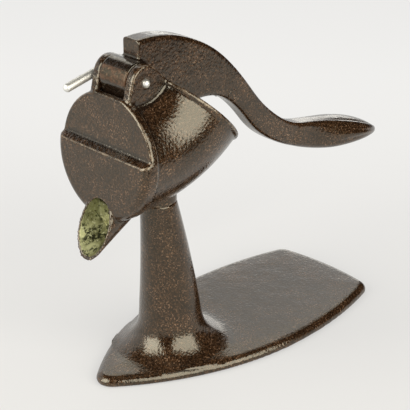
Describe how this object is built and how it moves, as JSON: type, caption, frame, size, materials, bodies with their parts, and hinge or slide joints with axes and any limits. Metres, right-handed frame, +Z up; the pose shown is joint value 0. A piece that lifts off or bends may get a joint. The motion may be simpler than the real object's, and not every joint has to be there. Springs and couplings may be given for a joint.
{
  "type": "hinged lemon squeezer",
  "caption": "Cast lever lemon squeezer on a tapered column and a flat-iron shaped base, with a hinged presser and a spout.",
  "frame": {"origin": "on the resting plane, under the foot of the column", "axes": "+X back along the lever and the base, +Y towards the bent arm of the hinge pin, +Z up"},
  "size_m": [0.2374, 0.0946, 0.1946],
  "materials": {
    "enamel": "gloss",
    "bright_steel": "satin",
    "cast_aluminium": "matte",
    "black_rubber": "matte"
  },
  "bodies": {
    "frame": {"base_casting": "enamel", "sole": "black_rubber", "column_bolt": "bright_steel", "column_washer": "bright_steel", "column_lock_washer": "bright_steel", "locating_pin": "bright_steel", "cup_casting": "enamel", "strainer_plate": "bright_steel", "strainer_screws": "bright_steel"},
    "lever": {"lever_casting": "enamel", "presser": "cast_aluminium", "presser_screws": "bright_steel"},
    "pin": {"hinge_pin": "bright_steel"}
  },
  "joints": [
    {"name": "lever_hinge", "type": "hinge", "parent": "frame", "child": "lever", "pos_m": [-0.027, 0, 0.1752], "axis": [0, 1, 0], "range_deg": [-130, 2.5]},
    {"name": "pin_withdraw", "type": "slide", "parent": "frame", "child": "pin", "axis": [0, 1, 0], "range_m": [0, 0.027]}
  ]
}
